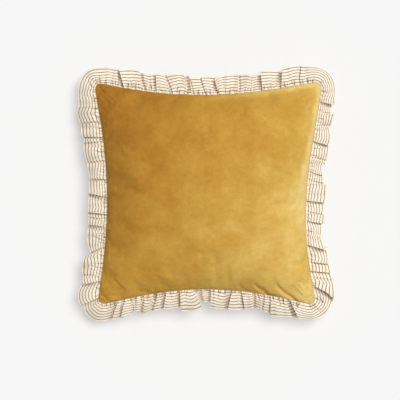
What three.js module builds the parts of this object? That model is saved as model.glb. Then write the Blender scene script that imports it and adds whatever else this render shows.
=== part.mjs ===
// A square velvet cushion that lies on its back, with a gathered frill of ticking caught in its seam.
// Millimetres, +Z up. The origin is the middle of the flat patch on which the cushion rests, +Y is the
// top of the cushion as it is looked down on, and positions run clockwise round the seam.
import * as THREE from "three";

// Driving sizes of the filled cushion
const SEAM_HEIGHT = 56; // of the seam above the surface, halfway along a side
const CORNER_SAG = 7; // how much lower the seam runs at the four corners
const CROWN_ABOVE = 73; // from the seam up to the top of the crown
const CROWN_BELOW = 66; // from the seam down, before the surface flattens it
const CROWN_POWER = 0.56; // below 1 the crown swells steeply at the seam and flattens in the middle
const RIM = 2.4; // height of the narrow band at the seam that the frill is sewn against
const BOW_POWER = 1.2; // above 1 the sides leave the corners straighter and draw in more in the middle
const CORNER_SOFTNESS = 19; // half the length over which a corner of the seam is rounded
const CORNER_FADE = 8; // power by which that rounding dies out from the seam to the middle

// Driving sizes of the frill
const CLOTH = 1.8; // thickness of the doubled cotton
const THICKEST = 2.6; // most that a steep flank is thickened, so that it keeps its cloth
const SEAM_GAP = 0.3; // between the frill and the cushion's rim
const USUAL_REACH = 36; // of the hem from the seam, at which the places in the table are given
const LIFT = 3; // how far the frill stands up out of the seam
const DROOP = 15; // how far it then falls by its hem
const FOLD_WIDTH = { seam: 1.6, hem: 3 }; // length of cloth in the turn of a fold
const TURN = 26; // half the length over which the frill fans round a corner
const SPREAD = 0.5; // power by which a fold opens from the seam to the hem

// Corners of the seam, before they are rounded
const TOP_LEFT = new THREE.Vector2(-218, 213.5);
const TOP_RIGHT = new THREE.Vector2(222, 214);
const BOTTOM_RIGHT = new THREE.Vector2(211, -218);
const BOTTOM_LEFT = new THREE.Vector2(-211.5, -217.5);

// A row for each side: its corners, the way it faces, how far it is drawn in, and where along it that is
// greatest. "Along" is measured from the cushion's middle, in the direction a quarter turn from "faces".
const SIDES = {
  top: { from: TOP_LEFT, to: TOP_RIGHT, faces: [0, 1], drawnIn: 26, waist: 0.47 },
  right: { from: TOP_RIGHT, to: BOTTOM_RIGHT, faces: [1, 0], drawnIn: 25.6, waist: 0.57 },
  bottom: { from: BOTTOM_RIGHT, to: BOTTOM_LEFT, faces: [0, -1], drawnIn: 31.7, waist: 0.5 },
  left: { from: BOTTOM_LEFT, to: TOP_LEFT, faces: [-1, 0], drawnIn: 22.4, waist: 0.5 },
};

// A row for each fold of the frill, in millimetres:
// hem, seam  where it meets the hem and the seam, along its side
// over       1 where the cloth before it lies on top, -1 where the cloth after it does
// drop, lap  how far the cloth falls at the hem from the upper layer to the lower, and how far it laps
// before, after, mid  reach of the hem from the seam before the fold, after it and halfway to the next
const FOLD_COLUMNS = ["hem", "seam", "over", "drop", "lap", "before", "after", "mid"];
const FOLDS = {
  top: [
    [-167, -160, -1, 10, 4, 37, 33, 39],
    [-134, -126, 1, 11, 4, 39, 35, 34],
    [-110, -106, 1, 7, 2, 33, 35, 37],
    [-96, -97, -1, 9, 3, 37, 37, 37],
    [-84, -71, 1, 9, 3, 34, 35, 39],
    [-47, -38, 1, 9, 3, 40, 37, 37],
    [-38, -29, 1, 7, 2, 37, 33, 34],
    [-10, -1, -1, 4, 0, 33, 36, 37],
    [17, 22, -1, 10, 4, 37, 29, 37],
    [57, 59, 1, 10, 4, 36, 36, 36],
    [86, 81, 1, 5, 0, 32, 30, 32],
    [107, 107, -1, 11, 4, 31, 39, 37],
    [149, 143, -1, 12, 5, 31, 38, 40],
    [184, 178, -1, 5, 0, 38, 38, 29],
  ],
  right: [
    [-170, -176, 1, 9, 3, 30, 26, 24],
    [-149, -151, -1, 8, 2, 25, 33, 31],
    [-127, -124, -1, 8, 2, 28, 24, 32],
    [-93, -99, 1, 8, 3, 32, 33, 34],
    [-56, -63, -1, 11, 4, 31, 28, 25],
    [-33, -41, 1, 4, 0, 28, 29, 31],
    [-12, -18, -1, 8, 3, 32, 38, 39],
    [16, 16, 1, 8, 3, 39, 35, 36],
    [46, 40, -1, 7, 2, 33, 37, 37],
    [58, 54, 1, 7, 2, 36, 31, 31],
    [92, 84, -1, 4, 0, 28, 29, 32],
    [108, 100, 1, 11, 4, 35, 41, 40],
    [136, 133, 1, 6, 1, 38, 40, 41],
    [153, 151, 1, 6, 1, 41, 38, 42],
    [171, 164, -1, 5, 0, 42, 42, 42],
    [196, 179, 1, 11, 3, 41, 40, 32],
  ],
  bottom: [
    [-181, -160, 1, 13, 4, 33, 30, 36],
    [-122, -123, 1, 7, -3, 41, 35, 33],
    [-103, -106, -1, 9, 3, 32, 30, 29],
    [-88, -87, -1, 8, 2, 29, 29, 33],
    [-75, -67, 1, 7, 1, 33, 34, 38],
    [-44, -49, 1, 11, 4, 37, 37, 38],
    [-8, -8, 1, 9, 2, 36, 26, 24],
    [13, 26, -1, 12, 4, 22, 37, 42],
    [47, 52, 1, 10, 4, 41, 32, 34],
    [81, 78, 1, 10, 4, 33, 32, 34],
    [114, 102, -1, 12, 4, 34, 32, 36],
    [132, 127, -1, 9, 2, 27, 28, 28],
    [146, 143, -1, 5, 0, 28, 31, 31],
    [164, 159, 1, 8, 2, 32, 35, 35],
    [181, 171, 1, 11, 4, 33, 28, 38],
  ],
  left: [
    [-203, -204, -1, 9, 3, 28, 38, 41],
    [-176, -170, -1, 8, 2, 33, 32, 35],
    [-162, -162, 1, 5, 0, 36, 37, 41],
    [-126, -108, 1, 10, 3, 38, 22, 35],
    [-71, -79, 1, 9, 3, 36, 36, 36],
    [-60, -65, -1, 5, 1, 36, 36, 36],
    [-51, -56, 1, 5, 1, 36, 36, 37],
    [-36, -42, -1, 6, 1, 37, 37, 37],
    [2, -9, -1, 10, 4, 36, 35, 35],
    [20, 18, 1, 9, 3, 35, 32, 35],
    [54, 57, 1, 7, 2, 36, 36, 40],
    [92, 96, 1, 6, 1, 40, 39, 38],
    [110, 107, -1, 6, 1, 37, 41, 41],
    [129, 131, 1, 9, 3, 40, 38, 43],
    [162, 165, 1, 5, 0, 41, 40, 34],
  ],
};

// How finely the two solids are stepped
const CUSHION_RINGS = [0.16, 0.32, 0.46, 0.58, 0.69, 0.78, 0.86, 0.92, 0.965, 0.99, 1]; // middle to seam
const SIDE_STEPS = 20; // along each side of the cushion
const CORNER_STEPS = [-15, -11, -7.5, -4.5, -1.5, 1.5, 4.5, 7.5, 11, 15]; // from the corner, along the seam
const TURN_STEPS = [-0.5, -0.2, 0.2, 0.5]; // across the turn of a fold
const PANEL_STEP = 9; // longest step along the hem between two folds
const FRILL_ROWS = [0, 0.3, 0.65, 1]; // from the seam to the hem
const SOFTEN_SAMPLES = 8; // in the mean that rounds a corner

const lerp = THREE.MathUtils.lerp;
const smooth = (x) => x * x * (3 - 2 * x);

// The seam as one ring: every side starts where the last one ends
const ring = [];
let ringLength = 0;
for (const [name, side] of Object.entries(SIDES)) {
  const faces = new THREE.Vector2(...side.faces);
  const along = new THREE.Vector2(faces.y, -faces.x);
  const first = side.from.dot(along);
  const length = side.to.dot(along) - first;
  ring.push({ ...side, name, faces, first, length, start: ringLength });
  ringLength += length;
}

function sideAt(position) {
  const wrapped = THREE.MathUtils.euclideanModulo(position, ringLength);
  const side = ring.findLast((each) => each.start <= wrapped);
  return { side, share: (wrapped - side.start) / side.length };
}

// How far a side is drawn in at a share of the way along it
function drawnIn(side, share) {
  const warped = Math.pow(THREE.MathUtils.clamp(share, 0, 1), Math.log(0.5) / Math.log(side.waist));
  return side.drawnIn * Math.pow(4 * warped * (1 - warped), BOW_POWER);
}

// The plan with sharp corners, as a patch stretched between its four sides. "reach" is the share of
// the way from the middle out to the seam, and each side draws in the cloth most where it is nearest.
function patch(position, reach) {
  const here = sideAt(position);
  const along = (2 * here.share - 1) * reach;
  const out = here.side.faces.clone().multiplyScalar(reach);
  const square = new THREE.Vector2(here.side.faces.y, -here.side.faces.x).multiplyScalar(along).add(out);
  const point = new THREE.Vector2();
  for (const side of ring) {
    const nearness = (1 + side.faces.dot(square)) / 2;
    const share = (1 + side.faces.y * square.x - side.faces.x * square.y) / 2;
    const chord = side.from.clone().lerp(side.to, share);
    point.addScaledVector(chord, nearness / 2).addScaledVector(side.faces, -nearness * drawnIn(side, share));
  }
  return point;
}

// The mean of a function of position over a stretch of the seam, which rounds its corners
function softened(along, position, half) {
  const sum = new THREE.Vector2();
  for (let i = 0; i <= SOFTEN_SAMPLES; i++) {
    const offset = half * ((2 * i) / SOFTEN_SAMPLES - 1);
    const weight = i === 0 || i === SOFTEN_SAMPLES ? 0.5 : 1;
    sum.addScaledVector(along(position + offset), weight / SOFTEN_SAMPLES);
  }
  return sum;
}

// A point of the cushion's plan: the corners are rounded at the seam, and less and less inside it
const planPoint = (position, reach) =>
  softened((p) => patch(p, reach), position, CORNER_SOFTNESS * reach ** CORNER_FADE);

const seamHeight = (position, reach = 1) =>
  SEAM_HEIGHT - CORNER_SAG * Math.pow(Math.abs(2 * sideAt(position).share - 1) * reach ** 2, 4);

// The direction out of the seam, which turns evenly from one side's to the next round each corner
function outward(position) {
  const { side, share } = sideAt(position);
  const fromStart = share * side.length;
  const toEnd = side.length - fromStart;
  const near = Math.min(fromStart, toEnd);
  if (near > TURN) return side.faces.clone();
  const neighbour = ring.at((ring.indexOf(side) + (fromStart < toEnd ? -1 : 1)) % ring.length);
  return side.faces.clone().lerp(neighbour.faces, (1 - near / TURN) / 2).normalize();
}

// The closed body between an upper and a lower face, each given as hoops of points that run outward.
// An innermost hoop may be a single point. Both faces are split into triangles alike, four-sided facets
// across the shorter diagonal, so that a thin twisted sheet keeps its faces apart.
function bodyBetween(upper, lower) {
  const count = upper.at(-1).length;
  const points = [...upper.flat(), ...lower.flat()];
  const below = points.length / 2;
  const innerOpen = upper[0].length > 1;
  const start = (row) => (innerOpen || row === 0 ? row * count : (row - 1) * count + 1);
  const at = (row, column) => start(row) + (upper[row].length === 1 ? 0 : column % count);
  const index = [];
  const addEdge = (row, top, bottom) => {
    for (let column = 0; column < count; column++) {
      const here = at(row, column);
      const next = at(row, column + 1);
      index.push(here + top, next + top, next + bottom, here + top, next + bottom, here + bottom);
    }
  };
  for (let row = 0; row < upper.length - 1; row++) {
    for (let column = 0; column < count; column++) {
      const [a, b] = [at(row, column), at(row, column + 1)];
      const [c, d] = [at(row + 1, column + 1), at(row + 1, column)];
      const throughA = points[a].distanceTo(points[c]) < points[b].distanceTo(points[d]);
      const whole = throughA ? [a, b, c, a, c, d] : [a, b, d, b, c, d];
      const facets = a === b ? [a, c, d] : whole;
      index.push(...facets, ...facets.map((point) => point + below).reverse());
    }
  }
  addEdge(upper.length - 1, 0, below);
  if (innerOpen) addEdge(0, below, 0);
  const geometry = new THREE.BufferGeometry().setFromPoints(points);
  geometry.setIndex(index);
  geometry.computeVertexNormals();
  return geometry;
}

// Positions round the seam at which the cushion is stepped, closer at the corners
function cushionSteps() {
  const steps = [];
  for (const side of ring) {
    for (let i = 1; i < SIDE_STEPS; i++) steps.push(side.start + (side.length * i) / SIDE_STEPS);
    for (const step of CORNER_STEPS) steps.push(THREE.MathUtils.euclideanModulo(side.start + step, ringLength));
  }
  return steps.sort((a, b) => a - b);
}

// The swell of the filling at a share of the way from the middle to the seam: 1 in the middle, 0 at the
// seam, and less towards the corners, as between two squares of cloth sewn edge to edge.
function swell(reach, position) {
  const across = 2 * sideAt(position).share - 1;
  return Math.pow((1 - reach ** 2) * (1 - (reach * across) ** 2), CROWN_POWER);
}

function cushionHoop(steps, reach, heightAt) {
  return steps.map((position) => {
    const point = planPoint(position, reach);
    const height = heightAt(seamHeight(position, reach), swell(reach, position));
    return new THREE.Vector3(point.x, point.y, Math.max(0, height));
  });
}

function cushionBody() {
  const steps = cushionSteps();
  const above = (base, swollen) => base + RIM / 2 + CROWN_ABOVE * swollen;
  const below = (base, swollen) => base - RIM / 2 - CROWN_BELOW * swollen;
  const top = CUSHION_RINGS.map((reach) => cushionHoop(steps, reach, above));
  const underside = CUSHION_RINGS.map((reach) => cushionHoop(steps, reach, below));
  return bodyBetween(
    [[new THREE.Vector3(0, 0, above(SEAM_HEIGHT, 1))], ...top],
    [[new THREE.Vector3(0, 0, 0)], ...underside],
  );
}

// All folds in order round the seam, as objects with the table's column names
function foldsInOrder() {
  return ring.flatMap((side) =>
    FOLDS[side.name].map((row) => {
      const fold = Object.fromEntries(FOLD_COLUMNS.map((column, i) => [column, row[i]]));
      fold.hem += side.start - side.first;
      fold.seam += side.start - side.first;
      fold.lean = (fold.over * (fold.lap + FOLD_WIDTH.hem)) / fold.drop;
      return fold;
    }),
  );
}

// The turn of one fold: the cloth runs from one layer to the other within the fold's width
function turnColumns(fold) {
  return TURN_STEPS.map((step) => ({
    hem: fold.hem + step * FOLD_WIDTH.hem,
    seam: fold.seam + step * FOLD_WIDTH.seam,
    wave: ((-fold.over * fold.drop) / 2) * Math.sin(Math.PI * step),
    lean: fold.lean,
    reach: lerp(fold.before, fold.after, smooth(step + 0.5)),
  }));
}

// The panel of cloth from one fold to the next, stepped closer where it rounds a corner
function panelColumns(fold, next) {
  const first = turnColumns(fold).at(-1);
  const last = turnColumns(next)[0];
  const count = Math.max(3, Math.ceil((last.hem - first.hem) / PANEL_STEP));
  const apart = 0.2 / count;
  const inside = (share) => share > apart && share < 1 - apart;
  const corners = [...ring, { start: ringLength }]
    .flatMap((side) => CORNER_STEPS.map((step) => side.start + step))
    .map((position) => (position - first.seam) / (last.seam - first.seam))
    .filter(inside);
  const even = Array.from({ length: count - 1 }, (_, i) => (i + 1) / count);
  const between = even.filter((share) => corners.every((corner) => Math.abs(corner - share) > apart));
  return [...corners, ...between]
    .sort((a, b) => a - b)
    .map((share) => {
      const belly = fold.mid - (fold.after + next.before) / 2;
      return {
        hem: lerp(first.hem, last.hem, share),
        seam: lerp(first.seam, last.seam, share),
        wave: lerp(first.wave, last.wave, smooth(share)),
        lean: lerp(first.lean, last.lean, smooth(share)),
        reach: lerp(fold.after, next.before, share) + belly * 4 * share * (1 - share),
      };
    });
}

function frillColumns() {
  const folds = foldsInOrder();
  return folds.flatMap((fold, i) => {
    const next = { ...folds[(i + 1) % folds.length] };
    if (i === folds.length - 1) {
      next.hem += ringLength;
      next.seam += ringLength;
    }
    return [...turnColumns(fold), ...panelColumns(fold, next)];
  });
}

// One face of the cloth, at a share of the way from the seam to the hem. "Out" is the distance from the
// seam in usual reaches: the folds, the fall and the lapping depend on it alone. Each column's wave is
// leaned over along the seam in step with its height, which laps the folds without letting layers cross.
function frillHoop(columns, down, face) {
  return columns.map((column, i) => {
    const before = columns[(i + columns.length - 1) % columns.length];
    const after = columns[(i + 1) % columns.length];
    const out = lerp(SEAM_GAP, column.reach, down) / USUAL_REACH;
    const open = Math.pow(out, SPREAD);
    const run = lerp(after.seam - before.seam, after.hem - before.hem, out);
    const slope = ((after.wave - before.wave) * open) / THREE.MathUtils.euclideanModulo(run, ringLength);
    const lean = column.lean * open;
    const cloth = CLOTH * THREE.MathUtils.clamp(Math.hypot(1 + lean * slope, slope), 1, THICKEST);
    const lift = column.wave * open + (face * cloth) / 2;
    const position = lerp(column.seam, column.hem, out) + lean * lift;
    const point = planPoint(position, 1).addScaledVector(outward(position), out * USUAL_REACH);
    return new THREE.Vector3(point.x, point.y, seamHeight(position) + LIFT * out - DROOP * out ** 2 + lift);
  });
}

function frill() {
  const columns = frillColumns();
  const upper = FRILL_ROWS.map((down) => frillHoop(columns, down, 1));
  const lower = FRILL_ROWS.map((down) => frillHoop(columns, down, -1));
  return bodyBetween(upper, lower);
}

const velvet = new THREE.MeshStandardMaterial({ color: "#c39643", roughness: 0.9, metalness: 0 });
const ticking = new THREE.MeshStandardMaterial({ color: "#efe2c8", roughness: 0.95, metalness: 0 });

function named(name, geometry, material) {
  const mesh = new THREE.Mesh(geometry, material);
  mesh.name = name;
  return mesh;
}

const cushion = new THREE.Group();
cushion.add(named("cushion_body", cushionBody(), velvet));
cushion.add(named("frill", frill(), ticking));

export default cushion;
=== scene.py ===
# %% [markdown]
# # A frilled velvet cushion
# A square cushion in mustard velvet lies on its back and is seen from straight above. A strip of
# cream ticking, doubled and gathered, is caught in its seam and stands out all round as a frill.
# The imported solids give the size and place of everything. Here each of the two gets its cloth:
# the cover is a crowned form blown up by a cloth simulation, and the frill is a thin sheet that
# repeats the solid's own folds far more finely.

# %% The frame
import math

import bpy
import numpy as np
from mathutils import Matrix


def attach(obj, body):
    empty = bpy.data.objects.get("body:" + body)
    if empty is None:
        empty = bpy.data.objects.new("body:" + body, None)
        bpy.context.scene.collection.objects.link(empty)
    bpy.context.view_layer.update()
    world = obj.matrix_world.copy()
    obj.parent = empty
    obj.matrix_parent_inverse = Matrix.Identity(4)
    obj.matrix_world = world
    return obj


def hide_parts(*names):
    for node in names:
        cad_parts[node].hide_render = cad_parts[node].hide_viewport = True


MM = 0.001

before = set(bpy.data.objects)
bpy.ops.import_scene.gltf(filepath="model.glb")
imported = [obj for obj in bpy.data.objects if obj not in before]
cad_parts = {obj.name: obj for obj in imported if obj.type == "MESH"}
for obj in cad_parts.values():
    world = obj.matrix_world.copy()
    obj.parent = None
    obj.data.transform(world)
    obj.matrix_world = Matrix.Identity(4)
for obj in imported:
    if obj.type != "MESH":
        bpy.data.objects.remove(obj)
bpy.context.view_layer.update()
print("packed nodes:", sorted(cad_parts))

# %% [markdown]
# ## The camera
# The photograph looks straight down from far off, so a long lens well above the cushion gives
# nearly no perspective. Its height follows from one number, how many millimetres of cloth a pixel
# shows, and its place from the pixel on which the middle of the cushion falls.

# %% The camera
IMAGE_PIXELS = 400
MM_PER_PIXEL = 1.93
MIDDLE_PIXEL = (207.0, 192.5)
SENSOR_WIDTH = 36.0
LENS = 150.0
SEAM_LEVEL = 56.0

camera_rise = LENS / SENSOR_WIDTH * IMAGE_PIXELS * MM_PER_PIXEL
camera_data = bpy.data.cameras.new("camera")
camera_data.sensor_width = SENSOR_WIDTH
camera_data.lens = LENS
camera = bpy.data.objects.new("camera", camera_data)
camera.location = (
    (IMAGE_PIXELS / 2 - MIDDLE_PIXEL[0]) * MM_PER_PIXEL * MM,
    (MIDDLE_PIXEL[1] - IMAGE_PIXELS / 2) * MM_PER_PIXEL * MM,
    (camera_rise + SEAM_LEVEL) * MM,
)
bpy.context.collection.objects.link(camera)
bpy.context.scene.camera = camera
print("the camera is", round(camera_rise), "mm above the seam")

# %% [markdown]
# ## The seam
# Everything hangs on one line: the seam round the cushion. Filling draws its sides in between the
# corners, so each side is a chord with a shallow bow taken out of it, and the corners are rounded
# by a running mean. A place on the seam is one number, its distance clockwise from the top left
# corner, and a whole array of such numbers is turned into points at once.

# %% Sizes of the seam
CORNERS = np.array([(-218.0, 213.5), (222.0, 214.0), (211.0, -218.0), (-211.5, -217.5)])
SIDE_NAMES = ("top", "right", "bottom", "left")
FACES = np.array([(0.0, 1.0), (1.0, 0.0), (0.0, -1.0), (-1.0, 0.0)])
DRAWN_IN = np.array([26.0, 25.6, 31.7, 22.4])
WAIST = np.array([0.47, 0.57, 0.5, 0.5])
BOW_POWER = 1.2
CORNER_SOFTNESS = 19.0
CORNER_FADE = 8
TINY = 1e-9
SOFTEN_WEIGHTS = np.array([0.5, 1, 1, 1, 1, 1, 1, 1, 0.5]) / 8
SEAM_HEIGHT = 56.0
CORNER_SAG = 7.0
TURN = 26.0

ALONG = np.stack([FACES[:, 1], -FACES[:, 0]], axis=1)
side_from = CORNERS
side_to = np.roll(CORNERS, -1, axis=0)
side_first = np.sum(side_from * ALONG, axis=1)
side_length = np.sum(side_to * ALONG, axis=1) - side_first
side_start = np.concatenate([[0], np.cumsum(side_length)[:-1]])
ring_length = side_length.sum()
print("the seam, with square corners, is", round(ring_length), "mm long")


# %% The seam as a function
def side_at(position):
    """The side on which a position lies, and the share of the way along it."""
    wrapped = np.mod(position, ring_length)
    side = np.searchsorted(side_start, wrapped, side="right") - 1
    return side, (wrapped - side_start[side]) / side_length[side]


# %% Drawn-in sides and rounded corners
def patch(position, reach):
    """A point of the plan with square corners. The unit square is stretched to the four chords,
    and each side then draws the cloth in by bow(share) times its nearness, which is 1 on that side
    and 0 on the opposite one. bow(s) = drawn_in * (4 w (1 - w)) ** power, w = s warped to the waist.
    """
    side, share = side_at(position)
    along = (2 * share - 1) * reach
    square = FACES[side] * np.asarray(reach)[..., None] + ALONG[side] * along[..., None]
    point = np.zeros(square.shape)
    for k in range(4):
        nearness = (1 + square @ FACES[k]) / 2
        across = np.clip((1 + square @ ALONG[k]) / 2, 0, 1)
        warped = across ** (math.log(0.5) / math.log(WAIST[k]))
        bow = DRAWN_IN[k] * (4 * warped * (1 - warped)) ** BOW_POWER
        chord = side_from[k] + across[..., None] * (side_to[k] - side_from[k])
        point += chord * nearness[..., None] / 2 - FACES[k] * (nearness * bow)[..., None]
    return point


def plan_point(position, reach):
    """The mean of the patch over a short stretch either side, which rounds the corners."""
    reach = np.broadcast_to(reach, np.shape(position))
    half = CORNER_SOFTNESS * reach**CORNER_FADE
    offsets = np.linspace(-1, 1, len(SOFTEN_WEIGHTS))
    return sum(w * patch(position + half * o, reach) for w, o in zip(SOFTEN_WEIGHTS, offsets))


# %% Direction and height of the seam
def outward(position):
    """The direction out of the seam: the side's own, turned evenly to the next one's at a corner."""
    side, share = side_at(position)
    from_start = share * side_length[side]
    to_end = side_length[side] - from_start
    near = np.minimum(from_start, to_end)
    neighbour = (side + np.where(from_start < to_end, -1, 1)) % 4
    blend = np.clip(1 - near / TURN, 0, 1)[..., None] / 2
    direction = FACES[side] * (1 - blend) + FACES[neighbour] * blend
    return direction / np.linalg.norm(direction, axis=-1, keepdims=True)


def seam_height(position, reach=1.0):
    """Height of the seam, which sags by the fourth power towards the corners."""
    share = side_at(position)[1]
    return SEAM_HEIGHT - CORNER_SAG * (np.abs(2 * share - 1) * np.asarray(reach) ** 2) ** 4


# %% [markdown]
# ## Meshes from arrays
# Both pieces are grids of points. One helper puts such a grid into a mesh, closing it on itself
# along either direction, and shades it smoothly.


# %% Meshes from arrays
def grid_faces(index, wrap_rows, wrap_columns):
    """Four-sided faces between neighbours of an array of point numbers."""
    below = np.roll(index, -1, axis=0) if wrap_rows else index[1:]
    here = index if wrap_rows else index[:-1]
    if wrap_columns:
        corners = [here, np.roll(here, -1, axis=1), np.roll(below, -1, axis=1), below]
    else:
        corners = [here[:, :-1], here[:, 1:], below[:, 1:], below[:, :-1]]
    return np.stack([corner.ravel() for corner in corners], axis=1)


def mesh_object(name, points_mm, faces):
    """A smooth-shaded object at the origin, with its points given in millimetres."""
    mesh = bpy.data.meshes.new(name)
    mesh.vertices.add(len(points_mm))
    mesh.vertices.foreach_set("co", (points_mm * MM).ravel())
    mesh.loops.add(faces.size)
    mesh.loops.foreach_set("vertex_index", faces.ravel())
    mesh.polygons.add(len(faces))
    mesh.polygons.foreach_set("loop_start", np.arange(len(faces)) * 4)
    mesh.update(calc_edges=True)
    mesh.validate()
    mesh.shade_smooth()
    made = bpy.data.objects.new(name, mesh)
    bpy.context.collection.objects.link(made)
    print(name, "has", len(mesh.vertices), "points and", len(mesh.polygons), "faces")
    return made


# %% [markdown]
# ## The velvet cover
# Two squares of velvet are sewn edge to edge and filled, which gives a pillow: steep at the seam,
# broad and nearly level in the middle, thin at the corners. The height over the unit square is a
# power of (1 - p p)(1 - q q), which is zero all along the seam and falls away to the corners.
# The lower face is cut off by the surface on which it lies.

# %% The crowned form
CROWN_ABOVE = 73.0
CROWN_BELOW = 66.0
CROWN_POWER = 0.56
RIM = 2.4
# On a diagonal of the square two sides are equally near, and the later one is taken.
TIE_BREAK = np.arange(4) * 1e-12


def cover_height(p, q, rise):
    """rise * ((1 - p p)(1 - q q)) ** power, over the unit square."""
    return rise * (np.clip(1 - p * p, 0, 1) * np.clip(1 - q * q, 0, 1)) ** CROWN_POWER


def cover_grid(p, q):
    """Plan points, seam heights and ring positions over the unit square."""
    reach = np.maximum(np.abs(p), np.abs(q))
    towards_faces = np.stack([p, q], axis=-1) @ FACES.T
    side = np.argmax(towards_faces + TIE_BREAK, axis=-1)
    along = np.sum(np.stack([p, q], axis=-1) * ALONG[side], axis=-1) / np.maximum(reach, TINY)
    share = np.clip((1 + along) / 2, 0, 1 - TIE_BREAK[1])
    position = side_start[side] + share * side_length[side]
    return plan_point(position, reach), seam_height(position, reach), position


def square_grid(step_count):
    """Unit square coordinates, closer together near the seam: sin(pi t / 2), t from -1 to 1."""
    steps = np.sin(np.linspace(-1, 1, step_count + 1) * math.pi / 2)
    return np.meshgrid(steps, steps, indexing="ij")


# %% The form as points and as an object
def form_grid(step_count):
    """The upper and the lower face of the crowned form. The lower one is cut off by the floor."""
    p, q = square_grid(step_count)
    plan, base, _ = cover_grid(p, q)
    faces = []
    for sign, rise in ((1, CROWN_ABOVE), (-1, CROWN_BELOW)):
        height = np.maximum(base + sign * (RIM / 2 + cover_height(p, q, rise)), 0)
        faces.append(np.concatenate([plan, height[..., None]], axis=-1))
    return np.stack(faces)


def cover_object(name, grid):
    """A closed cover from its two faces, joined all round by the narrow band of the seam, with the
    numbers of the points on that band."""
    upper = np.arange(grid[0, ..., 0].size).reshape(grid.shape[1:3])
    lower = upper + upper.size
    edge = np.concatenate([upper[0, :-1], upper[:-1, -1], upper[-1, :0:-1], upper[:0:-1, 0]])
    band = np.stack([edge, edge + upper.size])
    faces = [
        grid_faces(upper, False, False)[:, ::-1],
        grid_faces(lower, False, False),
        grid_faces(band, False, True),
    ]
    return mesh_object(name, grid.reshape(-1, 3), np.concatenate(faces)), band.ravel()


# %% [markdown]
# ## Creases in the velvet
# The cover is smooth but for a few creases near the seam, where the gathers pull at it. Each is a
# row of a table: a short arc, with its depth and its width, and the cloth is pushed in along it
# with a soft lip on either side.

# %% Creases
# Each row holds x0, y0, x1, y1, sag, depth and width, in millimetres.
CREASES = np.array(
    [
        (88.0, -172.0, 166.0, -212.0, -8.0, 9.0, 4.0),
        (132.0, -174.0, 180.0, -213.0, -4.0, 7.5, 3.6),
        (62.0, -178.0, 80.0, -191.0, -2.0, 6.0, 3.8),
        (-117.0, -184.0, -114.0, -196.0, 0.5, 3.4, 3.2),
        (-100.0, -182.0, -98.0, -194.0, -0.5, 3.4, 3.2),
        (-40.0, -176.0, -46.0, -190.0, 1.0, 1.2, 3.4),
        (112.0, 186.0, 145.0, 201.0, 3.0, 1.8, 4.0),
        (-176.0, 206.0, -154.0, 194.0, 2.0, 1.6, 3.6),
        (-60.0, 176.0, -52.0, 190.0, 1.0, 1.0, 3.6),
        (182.0, -6.0, 190.0, -66.0, -3.0, 2.0, 4.0),
        (194.0, 96.0, 182.0, 118.0, 2.0, 1.2, 4.0),
        (-192.0, -52.0, -180.0, -68.0, -2.0, 1.6, 3.6),
        (-192.0, 60.0, -178.0, 52.0, 1.5, 1.0, 3.6),
    ]
)
LIP = 0.45
CREASE_FULL = 0.3
CREASE_FADE = 0.16
print(len(CREASES), "creases in the cover")


# %% The creases as a function
def creased(x, y):
    """Sum over the creases of -depth * (1 - lip * (d / w) ** 2) * exp(-(d / w) ** 2), with d the
    distance from an arc from (x0, y0) to (x1, y1) that sags sideways. It has its full depth up to
    a share of 0.3 either side of its middle, and fades out beyond that.
    """
    total = np.zeros(x.shape)
    for x0, y0, x1, y1, sag, depth, width in CREASES:
        length = math.hypot(x1 - x0, y1 - y0)
        ux, uy = (x1 - x0) / length, (y1 - y0) / length
        along = ((x - x0) * ux + (y - y0) * uy) / length
        aside = (y - y0) * ux - (x - x0) * uy - sag * 4 * along * (1 - along)
        scaled = (aside / width) ** 2
        beyond = np.clip(np.abs(along - 0.5) - CREASE_FULL, 0, None)
        fade = np.exp(-((beyond / CREASE_FADE) ** 2))
        total -= depth * fade * (1 - LIP * scaled) * np.exp(-scaled)
    return total


# %% [markdown]
# ## Puckers along the seam
# The rest of the seam is puckered too, but very finely: the cover is a little longer than the
# frill's stitching allows. The puckers run at right angles to the seam, differ in width and depth,
# and die out within a couple of centimetres.

# %% Puckers along the seam
PUCKER_SPACING = 15.0
PUCKER_DEPTH = 0.9
PUCKER_LENGTH = 17.0
PUCKER_START = 3.0
STRENGTH_SPACING = 110.0
STRENGTH_MEAN = 0.6
SLOWER_SINES = (0.31, 0.17, 0.07)
random = np.random.default_rng(7)
print("a pucker every", PUCKER_SPACING, "mm or so, up to", PUCKER_DEPTH, "mm deep")


# %% Uneven waves
def uneven_wave(position, spacing, wander):
    """A wave along the ring with an uneven rhythm: sine of a phase that wanders by three slower
    sines. It closes on itself, because each sine fits the ring a whole number of times."""
    turns = round(ring_length / spacing)
    phase = 2 * np.pi * position / ring_length
    total = turns * phase
    for slower, offset in zip(SLOWER_SINES, random.uniform(0, 2 * np.pi, 3)):
        total = total + wander * np.sin(round(turns * slower) * phase + offset)
    return np.sin(total)


def puckered(position, distance):
    """depth * strength(position) * wave(position) * exp(-distance / length), zero at the seam."""
    strong_here = uneven_wave(position, STRENGTH_SPACING, wander=0.8)
    strength = STRENGTH_MEAN + (1 - STRENGTH_MEAN) * strong_here
    wave = strength * uneven_wave(position, PUCKER_SPACING, wander=0.9)
    off_the_seam = 1 - np.exp(-distance / PUCKER_START)
    return PUCKER_DEPTH * wave * off_the_seam * np.exp(-distance / PUCKER_LENGTH)
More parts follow.
